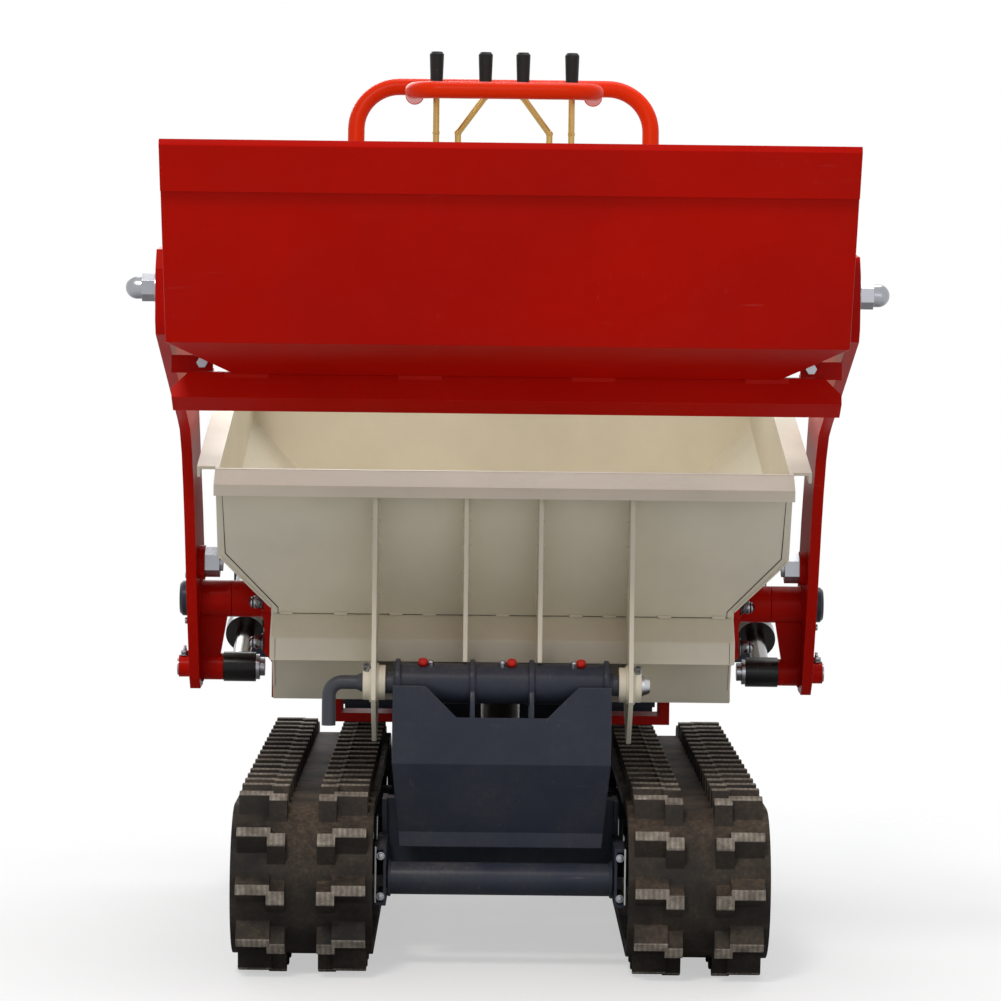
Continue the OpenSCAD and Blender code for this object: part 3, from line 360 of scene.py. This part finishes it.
def split_material(name, test, low, high, low_metal, high_metal, low_rough, high_rough):
    """One surface in two finishes: high where test(tree, place) is 1."""
    m, t, sh, place = start(name)
    mask = test(t, place)
    grain = use_group(t, GRAIN, place, Fine=800.0, Broad=80.0)
    tone = ramp(t, grain.outputs["Tone"], 0.3, 0.7)
    shade = mix_color(t, tone, (0.82, 0.82, 0.82, 1.0), (1.0, 1.0, 1.0, 1.0))
    base = mix_color(t, 1.0, mix_color(t, mask, low, high), shade, "MULTIPLY")
    sc = use_group(t, SCUFFS, place, Amount=0.3)
    base = mix_color(t, sc.outputs["Scratch"], base, srgb(150, 148, 145))
    du = use_group(t, DUST, place, Amount=0.15, Low=0.2)
    t.links.new(mix_color(t, du.outputs["Mask"], base, DUST_COLOR), sh.inputs["Base Color"])
    t.links.new(ramp(t, mask, 0.0, 1.0, low_metal, high_metal), sh.inputs["Metallic"])
    t.links.new(math_node(t, "MULTIPLY_ADD", tone, 0.08, ramp(t, mask, 0.0, 1.0, low_rough, high_rough)),
                sh.inputs["Roughness"])
    sh.inputs["Specular IOR Level"].default_value = 0.22
    bump(t, sh, grain.outputs["Height"], 0.1, 0.0004)
    return m


def axis_value(tree, place, direction, origin):
    """Distance of the surface point along a direction from a point."""
    d = add(tree, "ShaderNodeVectorMath", operation="DOT_PRODUCT")
    tree.links.new(place, d.inputs[0])
    d.inputs[1].default_value = direction
    shift = Vector(direction).dot(Vector(origin))
    return math_node(tree, "SUBTRACT", d.outputs["Value"], shift)


# where one piece changes its finish
LIFT_RISE = math.radians(18)
LIFT_DIR = (0.0, math.cos(LIFT_RISE), math.sin(LIFT_RISE))
LIFT_PIN = (0.0, -0.0685, 0.357)
EYE_R = 0.0225
KNOB_Z = 1.2198
BARE_X = 0.17


def beyond_eye(t, place):
    """1 on the bright rod, 0 on the painted eye."""
    return ramp(t, axis_value(t, place, LIFT_DIR, LIFT_PIN), EYE_R, EYE_R + 0.0003)


def above_rod(t, place):
    """1 on the knob, 0 on the plated rod."""
    return ramp(t, axis_value(t, place, (0, 0, 1), (0, 0, KNOB_Z)), 0.0, 0.0002)


def bare_end(t, place):
    """1 on the bare end of the hinge pin, 0 on its painted side."""
    return ramp(t, axis_value(t, place, (1, 0, 0), (BARE_X, 0, 0)), 0.0, 0.0004)


RUBBER = tread_rubber()
HINGE_PIN = split_material("hinge_pin", bare_end, srgb(72, 75, 82), srgb(196, 198, 202),
                           0.1, 1.0, 0.38, 0.24)
LIFT_ROD = split_material("lift_rod", beyond_eye, srgb(18, 18, 19), srgb(150, 148, 148), 0.0, 1.0, 0.22, 0.12)
LEVER = split_material("lever", above_rod, srgb(196, 162, 96), srgb(20, 20, 21), 0.9, 0.0, 0.28, 0.42)

BY_SLOT = {"rubber": RUBBER, "cream_paint": CREAM, "red_paint": RED, "orange_paint": ORANGE,
           "black_paint": BLACK, "anthracite_paint": SLATE, "chrome": CHROME, "black_plastic": PLASTIC,
           "aluminium": ALU, "zinc": LEVER, "steel": STEEL}
# width of the rounded edges, in millimetres
BEVEL = {"track_belt_left": 3.5, "track_belt_right": 3.5, "skip_shell": 1.6, "skip_front_box": 2.5,
         "bucket_shell": 1.6, "front_cover": 1.4, "loader_arm_left": 1.2, "loader_arm_right": 1.2,
         "engine_block": 2.0, "fuel_tank": 9.0, "air_filter": 8.0, "oil_tank": 5.0, "muffler": 8.0,
         "fuel_cap": 1.5, "recoil_cover": 6.0, "hydraulic_pump": 3.0, "handlebar": 0.0, "handle_guard": 0.0,
         "drive_motor_left": 2.5, "drive_motor_right": 2.5}
SPECIAL = {"lift_rod_left": LIFT_ROD, "lift_rod_right": LIFT_ROD, "hinge_pin": HINGE_PIN}
slot_of = {s["node"]: s["material_slot"] for s in frame["record"]["subparts"]}
# least angle of an edge that is rounded, in degrees; shallow folds that must stay crisp have their own
EDGE_ANGLE = 32
FOLD = {"front_cover": 15}
PLAIN_BEVEL = 0.8


def soften(obj, width, fold=EDGE_ANGLE):
    """Joins split vertices, rounds edges and keeps flat faces flat."""
    w = obj.modifiers.new("weld", "WELD")
    w.merge_threshold = 0.00001
    if width > 0:
        b = obj.modifiers.new("bevel", "BEVEL")
        b.width = width * MM
        b.segments = 2
        b.limit_method = "ANGLE"
        b.angle_limit = math.radians(fold)
        b.use_clamp_overlap = True
    n = obj.modifiers.new("normals", "WEIGHTED_NORMAL")
    n.mode = "FACE_AREA"
    n.weight = 60


for name, obj in nodes.items():
    material = SPECIAL.get(name) or BY_SLOT[slot_of[name]]
    obj.data.materials.clear()
    obj.data.materials.append(material)
    obj.data.polygons.foreach_set("use_smooth", [True] * len(obj.data.polygons))
    soften(obj, BEVEL.get(name, PLAIN_BEVEL), FOLD.get(name, EDGE_ANGLE))

# small pieces that ride on the CAD bodies, in millimetres

BEAD_SIDES = 8
# spacing and height of the scales of a weld bead
BEAD_PITCH = 3.2
BEAD_RIPPLE = 0.16
RING_RIPPLE = 0.14
# degrees between the points of a ring
RING_STEP = 9
# a direction that no bead runs along, to set its rings by
ASKEW = Vector((0.31, 0.52, 0.79))
# radii of the weld beads, from the guard's to the frame's
FINE_WELD, THIN_WELD, PLAIN_WELD, TUBE_WELD, THICK_WELD = 1.6, 1.8, 2.0, 2.2, 2.4
ACROSS, UP, AHEAD = (1, 0, 0), (0, 0, 1), (0, -1, 0)


def full_turn(count):
    """Angles of a full turn in equal steps."""
    return [2 * math.pi * i / count for i in range(count)]


class Part:
    """Collects simple solids of one finish and puts them on one body as one mesh."""

    def __init__(self, name, material, body, slot, bevel=0.0):
        self.name, self.material, self.body, self.slot, self.bevel = name, material, body, slot, bevel
        self.bm = bmesh.new()

    def rings(self, rings):
        """Skins a row of point rings, with flat ends."""
        rows = [[self.bm.verts.new(Vector(p) * MM) for p in ring] for ring in rings]
        count = len(rows[0])
        for a, b in zip(rows, rows[1:]):
            for i in range(count):
                j = (i + 1) % count
                self.bm.faces.new((a[i], a[j], b[j], b[i]))
        self.bm.faces.new(rows[0][::-1])
        self.bm.faces.new(rows[-1])

    def turned(self, place, axis, profile, sides=24):
        """Turned or, with few sides, prismatic solid: profile is (radius, distance along axis) pairs."""
        axis = Vector(axis).normalized()
        u = axis.orthogonal().normalized()
        v = axis.cross(u)
        place = Vector(place)
        out = [u * math.cos(a) + v * math.sin(a) for a in full_turn(sides)]
        self.rings([[place + axis * h + d * r for d in out] for r, h in profile])

    def hexhead(self, place, axis, r, h, washer=1.4):
        """Hexagon head with a chamfered top on a washer."""
        if washer:
            self.turned(place, axis, [(r * 1.3, 0), (r * 1.3, washer * 0.8), (r * 1.24, washer)])
        self.turned(place, axis, [(r, washer), (r, washer + h * 0.82), (r * 0.88, washer + h)], sides=6)

    def domenut(self, place, axis, r, h):
        """Closed nut: washer, hexagon and a round cap."""
        cap = [(r * 0.82 * math.cos(a), h * 0.62 + r * 0.7 * math.sin(a)) for a in (0.0, 0.4, 0.8, 1.2, 1.5)]
        self.turned(place, axis, [(r * 1.25, 0), (r * 1.25, 1.6)])
        self.turned(place, axis, [(r, 1.6), (r, h * 0.56), (r * 0.86, h * 0.62)], sides=6)
        self.turned(place, axis, cap)

    def tube(self, points, r, sides, ripple=0.0):
        """Round bar along a polyline; ripple gives the scales of a weld bead."""
        pts = [Vector(p) for p in points]
        if ripple:
            fine = []
            for a, b in zip(pts, pts[1:]):
                n = max(2, int((b - a).length / (BEAD_PITCH / 3)))
                fine += [a.lerp(b, i / n) for i in range(n)]
            pts = fine + [pts[-1]]
        rings, run = [], 0.0
        for i, p in enumerate(pts):
            d = (pts[min(i + 1, len(pts) - 1)] - pts[max(i - 1, 0)]).normalized()
            if i:
                run += (p - pts[i - 1]).length
            u = d.cross(ASKEW).normalized()
            v = d.cross(u)
            rr = r * (1.0 + ripple * math.sin(2 * math.pi * run / BEAD_PITCH))
            if i in (0, len(pts) - 1):
                rr *= 0.5
            rings.append([p + (u * math.cos(a) + v * math.sin(a)) * rr for a in full_turn(sides)])
        self.rings(rings)

    def bead(self, a, b, r):
        """Straight weld bead."""
        self.tube([a, b], r, BEAD_SIDES, BEAD_RIPPLE)

    def ringbead(self, place, axis, radius, r):
        """Weld bead round a bar."""
        axis = Vector(axis).normalized()
        u = axis.orthogonal().normalized()
        v = axis.cross(u)
        turn = [math.radians(angle) for angle in range(0, 361, RING_STEP)]
        line = [Vector(place) + (u * math.cos(a) + v * math.sin(a)) * radius for a in turn]
        self.tube(line, r, BEAD_SIDES, RING_RIPPLE)

    def box(self, lo, hi):
        """Block between two corners."""
        lo, hi = Vector(lo), Vector(hi)
        square = [(lo.x, lo.y), (hi.x, lo.y), (hi.x, hi.y), (lo.x, hi.y)]
        self.rings([[(x, y, z) for x, y in square] for z in (lo.z, hi.z)])

    def done(self):
        """Makes the mesh and lets it ride on its body."""
        bmesh.ops.recalc_face_normals(self.bm, faces=self.bm.faces)
        mesh = bpy.data.meshes.new(self.name)
        self.bm.to_mesh(mesh)
        self.bm.free()
        mesh.polygons.foreach_set("use_smooth", [True] * len(mesh.polygons))
        mesh.materials.append(self.material)
        obj = bpy.data.objects.new(self.name, mesh)
        scene.collection.objects.link(obj)
        soften(obj, self.bevel)
        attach(obj, self.body)


RED_CAP = plain("red_cap", srgb(205, 30, 14), rough=0.45, dust=0.1)

SKIP_Y0, SKIP_Z0, SKIP_TILT = -285.0, 333.0, math.radians(12.5)
SKIP_LEAN, SKIP_DEPTH = -108.6, 342.0
SKIP_BOX_Y = -390.0
HINGE = Vector((0, -450, 370))
PIVOT = Vector((0, -115.5, 454))
PIN = Vector((0, -68.5, 357))


def skip_point(x, u, w):
    """Point given in the skip's own level frame."""
    c, s = math.cos(SKIP_TILT), math.sin(SKIP_TILT)
    return Vector((x, SKIP_Y0 + u * c - w * s, SKIP_Z0 + u * s + w * c))


def wall(x, w, off=0.0):
    """Point on the outside of the skip's front wall."""
    return skip_point(x, SKIP_LEAN * w / SKIP_DEPTH - off, w)


# welds on the skip: along the ribs, in stitches along the seam, round the bosses, along the side plates
OUTER_RIB, INNER_RIB = 165, 48
BESIDE_RIB, BESIDE_BOSS = 4.2, 4.0
RIB_WELD_W, RIB_WELD_STEP, RIB_WELD_LEN = 140, 36, 24
SEAM_W = 131
STITCH_X = (-283, -212, -140, -96, 0, 96, 140, 212, 283)
STITCH_HALF = 9
SIDE_WELD_X, SIDE_WELD_W = 301, (20, 132)
SLANT_WELD = ((303, 140), (369, 215))
BOSS_WELD_R = 23.4
skip_welds = Part("skip_welds", CREAM, "skip", "cream_paint")
for x in (-OUTER_RIB, -INNER_RIB, INNER_RIB, OUTER_RIB):
    for side in (-1, 1):
        foot_x = x + side * BESIDE_RIB
        for k in range(5):
            w0 = RIB_WELD_W + k * RIB_WELD_STEP
            skip_welds.bead(wall(foot_x, w0, 0.6), wall(foot_x, w0 + RIB_WELD_LEN, 0.6), PLAIN_WELD)
for x in STITCH_X:
    skip_welds.bead(wall(x - STITCH_HALF, SEAM_W, 1.0), wall(x + STITCH_HALF, SEAM_W, 1.0), THICK_WELD)
for side in (-1, 1):
    for off in (-BESIDE_BOSS, BESIDE_BOSS):
        boss_face = (side * (OUTER_RIB + off), HINGE.y, HINGE.z)
        skip_welds.ringbead(boss_face, ACROSS, BOSS_WELD_R, PLAIN_WELD)
    skip_welds.bead(*[wall(side * SIDE_WELD_X, w) for w in SIDE_WELD_W], THIN_WELD)
    slant = [wall(side * x, w, 0.4) for x, w in SLANT_WELD]
    skip_welds.tube(slant, THIN_WELD, BEAD_SIDES, RING_RIPPLE)
skip_welds.done()

# painted shade of the open seams between the stitches, where the front wall sits between the side plates:
# thin dark tubes laid on the wall stand in for the shade inside the gaps
SEAM_R, SEAM_SIDES = 0.7, 6
SIDE_SEAM = ((294, 131), (294, 139), (361, 219), (363, 308))
# stretches of the level seam between the ribs
LEVEL_SEAM = ((296, 168.5), (161.5, 51.5), (44.5, 0))
LEVEL_SEAM_W = 130.6
BOX_SEAM_X, BOX_SEAM_Z = 296, (421, 394)
skip_seam_shade = Part("skip_seam_shade", SEAM_SHADE, "skip", "cream_paint")
for side in (-1, 1):
    skip_seam_shade.tube([wall(side * x, w, 0.2) for x, w in SIDE_SEAM], SEAM_R, SEAM_SIDES)
    for x0, x1 in LEVEL_SEAM:
        stretch = [wall(side * x, LEVEL_SEAM_W, 0.3) for x in (x0, x1)]
        skip_seam_shade.tube(stretch, SEAM_R, SEAM_SIDES)
    skip_seam_shade.tube([(side * BOX_SEAM_X, SKIP_BOX_Y - 0.1, z) for z in BOX_SEAM_Z], SEAM_R, SEAM_SIDES)
skip_seam_shade.done()

# loader frame: clamp bolts beside the pivot housings, welds
CLAMP_YZ = ((-153, 452), (-146, 397))
CLAMP_R = 9.5
HOUSE_OUT, HOUSE_IN, HOUSE_MID = 324, 308, 316
HOUSE_WELD_R = 26
CLAMP_LUG_HALF, CLAMP_LUG_Y, CLAMP_LUG_Z = 7.5, (-166, -149), (438, 466)
clamp_nuts = Part("clamp_nuts", STEEL, "chassis", "steel")
clamp_lugs = Part("clamp_lugs", RED, "chassis", "red_paint", 1.2)
frame_welds = Part("frame_welds", RED, "chassis", "red_paint")
for side in (-1, 1):
    for y, z in CLAMP_YZ:
        clamp_nuts.domenut((side * HOUSE_OUT, y, z), (side, 0, 0), CLAMP_R, 22)
        clamp_nuts.hexhead((side * HOUSE_IN, y, z), (-side, 0, 0), CLAMP_R, 7)
    lug_x = side * HOUSE_MID
    clamp_lugs.box((lug_x - CLAMP_LUG_HALF, CLAMP_LUG_Y[0], CLAMP_LUG_Z[0]),
                   (lug_x + CLAMP_LUG_HALF, CLAMP_LUG_Y[1], CLAMP_LUG_Z[1]))
    house_face = (side * (HOUSE_OUT + 0.5), PIVOT.y, PIVOT.z)
    frame_welds.ringbead(house_face, ACROSS, HOUSE_WELD_R, THICK_WELD)
clamp_nuts.done()
clamp_lugs.done()
frame_welds.done()

# loader: nipple bolts on the lower pins, bolts beside the pivot caps, weld rings
PIN_BOLT_X = 436
ARM_OUT, ARM_IN = 426, 412
CAP_BOLT_DROP = 31
# heights of the bolt's seat and of the nipple over the pin's axis
PIN_SEAT, NIPPLE_SEAT = 14.4, 21
PIN_WELD_OUT, PIN_WELD_IN, PIVOT_WELD_R = 15.8, 19.2, 26
NIPPLE = [(2.6, 0), (2.6, 3), (1.6, 4), (2.2, 5.5), (1.4, 7.5)]
pin_bolts = Part("pin_bolts", STEEL, "loader", "steel")
loader_welds = Part("loader_welds", RED, "loader", "red_paint")
for side in (-1, 1):
    pin_bolts.hexhead((side * PIN_BOLT_X, PIN.y, PIN.z + PIN_SEAT), UP, 6.2, 6)
    pin_bolts.turned((side * PIN_BOLT_X, PIN.y, PIN.z + NIPPLE_SEAT), UP, NIPPLE)
    for drop in (CAP_BOLT_DROP, -CAP_BOLT_DROP):
        seat = (side * (ARM_OUT + 0.1), PIVOT.y, PIVOT.z + drop)
        pin_bolts.hexhead(seat, (side, 0, 0), 4.6, 6, 1.0)
    out_x, in_x = side * (ARM_OUT + 0.6), side * (ARM_IN - 0.6)
    loader_welds.ringbead((out_x, PIN.y, PIN.z), ACROSS, PIN_WELD_OUT, PLAIN_WELD)
    loader_welds.ringbead((in_x, PIN.y, PIN.z), ACROSS, PIN_WELD_IN, PLAIN_WELD)
    loader_welds.ringbead((in_x, PIVOT.y, PIVOT.z), ACROSS, PIVOT_WELD_R, THICK_WELD)
pin_bolts.done()
loader_welds.done()

# front of the chassis: caps of the grease nipples, thin white boxes on the side channels' front edges as a
# painted highlight of those edges, bolts on the channels, welds
CAP_X = (-102, 12, 101)
CAP_SHAPE = [(6.2, 0), (6.4, 5), (5.6, 8), (3.5, 9.2)]
CAP_LEAN = (0, -0.3, 0.95)
STRIP_X, STRIP_HALF, STRIP_T, STRIP_Z = 159.5, 1.0, 2, (92, 164)
CHANNEL_BOLT_X, CHANNEL_BOLT_Z = 153, (100, 152)
CHANNEL_Y = -499.5
TUBE_END = Vector((142.6, -467.5, 120))
TUBE_WELD_R, EAR_WELD_R = 21.5, 26.4
EAR_FACES = (137, 131, 41, 35)
caps = Part("nipple_caps", RED_CAP, "chassis", "red_paint")
for x in CAP_X:
    caps.turned((x, HINGE.y - 9, HINGE.z + 23.5), CAP_LEAN, CAP_SHAPE)
caps.done()
edge_highlights = Part("channel_edge_highlights", EDGE_HIGHLIGHT, "chassis", "anthracite_paint", 0.4)
chassis_bolts = Part("chassis_bolts", STEEL, "chassis", "steel")
chassis_welds = Part("chassis_welds", SLATE, "chassis", "anthracite_paint")
for side in (-1, 1):
    strip_x = side * STRIP_X
    edge_highlights.box((strip_x - STRIP_HALF, CHANNEL_Y - STRIP_T, STRIP_Z[0]),
               (strip_x + STRIP_HALF, CHANNEL_Y, STRIP_Z[1]))
    for z in CHANNEL_BOLT_Z:
        chassis_bolts.hexhead((side * CHANNEL_BOLT_X, CHANNEL_Y, z), AHEAD, 4.0, 4, 0.8)
    chassis_welds.ringbead((side * TUBE_END.x, TUBE_END.y, TUBE_END.z), ACROSS, TUBE_WELD_R, TUBE_WELD)
    for x in EAR_FACES:
        chassis_welds.ringbead((side * x, HINGE.y, HINGE.z), ACROSS, EAR_WELD_R, THIN_WELD)
chassis_bolts.done()
chassis_welds.done()
edge_highlights.done()

# handlebar: welds of the guard
GUARD_END = Vector((144, 925.0, 1202.6))
GUARD_WELD_R = 13.4
bar_welds = Part("guard_welds", ORANGE, "chassis", "orange_paint")
for side in (-1, 1):
    foot = (side * GUARD_END.x, GUARD_END.y, GUARD_END.z)
    bar_welds.ringbead(foot, (0, 1, 0), GUARD_WELD_R, FINE_WELD)
bar_welds.done()

# engine: bolts of the recoil cover, spark plug with its cap, filter nut, foot bolts, starter grip
CRANK = Vector((-168.5, 580, 388))
COVER_BOLTS, COVER_BOLT_R = 6, 78
PLUG = Vector((0, 446, 490))
PLUG_SHAPE = [(9, 0), (9, 6), (6, 6), (6, 20), (8, 20), (8, 30)]
PLUG_CAP_SHAPE = [(10, -6), (11, 0), (11, 16), (8, 22)]
FILTER_NUT = (-143, 505, 612)
FOOT_BOLTS = ((100, 480), (100, 680), (-110, 480), (-110, 680))
FOOT_BOLT_Z = 294
engine_bits = Part("engine_bits", STEEL, "chassis", "steel")
grips = Part("engine_grips", PLASTIC, "chassis", "black_plastic", 0.8)
for a in full_turn(COVER_BOLTS):
    t = a + math.pi / COVER_BOLTS
    place = CRANK + COVER_BOLT_R * Vector((0, math.cos(t), math.sin(t)))
    engine_bits.hexhead(place, (-1, 0, 0), 4.5, 4, 1.0)
engine_bits.turned(PLUG, AHEAD, PLUG_SHAPE)
engine_bits.hexhead(FILTER_NUT, UP, 7, 6)
for x, y in FOOT_BOLTS:
    engine_bits.hexhead((x, y, FOOT_BOLT_Z), UP, 6, 6)
grips.turned((PLUG.x, PLUG.y - PLUG_SHAPE[-1][1], PLUG.z), AHEAD, PLUG_CAP_SHAPE)
grips.box((-196, 560, 452), (-176, 600, 466))
grips.done()
engine_bits.done()

# floor, light and background
FLOOR_DROP = 0.0006
# the floor fades out between these distances from the middle
FADE_FROM, FADE_TO = 0.7, 1.9
# share of plain white laid over the floor for the camera
VEIL = 0.5
SKY_LIGHT = 0.5
floor_mat, ft, fs, fplace = start("floor")
tone = ramp(ft, noise(ft, fplace, 2.0, 4.0, 0.6), 0.3, 0.7)
fpath = add(ft, "ShaderNodeLightPath")
fshow = mix_color(ft, tone, (0.93, 0.93, 0.93, 1.0), (0.96, 0.96, 0.96, 1.0))
fbase = mix_color(ft, fpath.outputs["Is Camera Ray"], (0.5, 0.5, 0.5, 1.0), fshow)
ft.links.new(fbase, fs.inputs["Base Color"])
fs.inputs["Roughness"].default_value = 0.9
away = add(ft, "ShaderNodeVectorMath", operation="LENGTH")
ft.links.new(fplace, away.inputs[0])
fade = ramp(ft, away.outputs["Value"], FADE_FROM, FADE_TO)
clear = add(ft, "ShaderNodeBsdfTransparent")
blend = add(ft, "ShaderNodeMixShader")
ft.links.new(fade, blend.inputs[0])
pale = add(ft, "ShaderNodeEmission")
veil = add(ft, "ShaderNodeMixShader")
ft.links.new(math_node(ft, "MULTIPLY", fpath.outputs["Is Camera Ray"], VEIL), veil.inputs[0])
ft.links.new(fs.outputs[0], veil.inputs[1])
ft.links.new(pale.outputs[0], veil.inputs[2])
ft.links.new(veil.outputs[0], blend.inputs[1])
ft.links.new(clear.outputs[0], blend.inputs[2])
ft.links.new(blend.outputs[0], ft.nodes["Material Output"].inputs["Surface"])
floor_mesh = bpy.data.meshes.new("floor")
floor_mesh.from_pydata([(-14, -9, 0), (14, -9, 0), (14, 20, 0), (-14, 20, 0)], [], [(0, 1, 2, 3)])
floor = bpy.data.objects.new("floor", floor_mesh)
floor.location.z = -FLOOR_DROP
floor_mesh.materials.append(floor_mat)
scene.collection.objects.link(floor)

world = bpy.data.worlds.new("studio")
scene.world = world
world.use_nodes = True
wt = world.node_tree
wt.nodes.clear()
out = add(wt, "ShaderNodeOutputWorld")
mix = add(wt, "ShaderNodeMixShader")
seen = add(wt, "ShaderNodeBackground")
seen.inputs["Color"].default_value = (1, 1, 1, 1)
lit = add(wt, "ShaderNodeBackground")
lit.inputs["Color"].default_value = (0.95, 0.97, 1.0, 1)
lit.inputs["Strength"].default_value = SKY_LIGHT
path = add(wt, "ShaderNodeLightPath")
ray = math_node(wt, "MAXIMUM", path.outputs["Is Camera Ray"],
                math_node(wt, "MAXIMUM", path.outputs["Is Glossy Ray"], path.outputs["Is Transmission Ray"]))
wt.links.new(ray, mix.inputs[0])
wt.links.new(lit.outputs[0], mix.inputs[1])
wt.links.new(seen.outputs[0], mix.inputs[2])
wt.links.new(mix.outputs[0], out.inputs["Surface"])


def area(name, place, target, size, power, color=(1, 1, 1)):
    """Rectangular lamp that looks at a point."""
    d = bpy.data.lights.new(name, "AREA")
    d.shape = "RECTANGLE"
    d.size, d.size_y = size
    d.energy = power
    d.color = color
    o = bpy.data.objects.new(name, d)
    o.location = place
    o.rotation_euler = (Vector(target) - Vector(place)).to_track_quat("-Z", "Y").to_euler()
    scene.collection.objects.link(o)


area("key", (-0.9, -3.5, 3.7), (0, -0.3, 0.6), (0.8, 0.8), 75, (1.0, 0.97, 0.92))
area("top", (0.6, 1.6, 4.4), (0, 0.2, 0.4), (2.4, 2.4), 70)
area("front", (1.6, -5.6, 1.6), (0, 0, 0.5), (3.0, 2.0), 18, (0.94, 0.97, 1.0))
area("back", (-1.5, 4.6, 3.0), (0, 0.3, 0.6), (3.0, 2.0), 70)
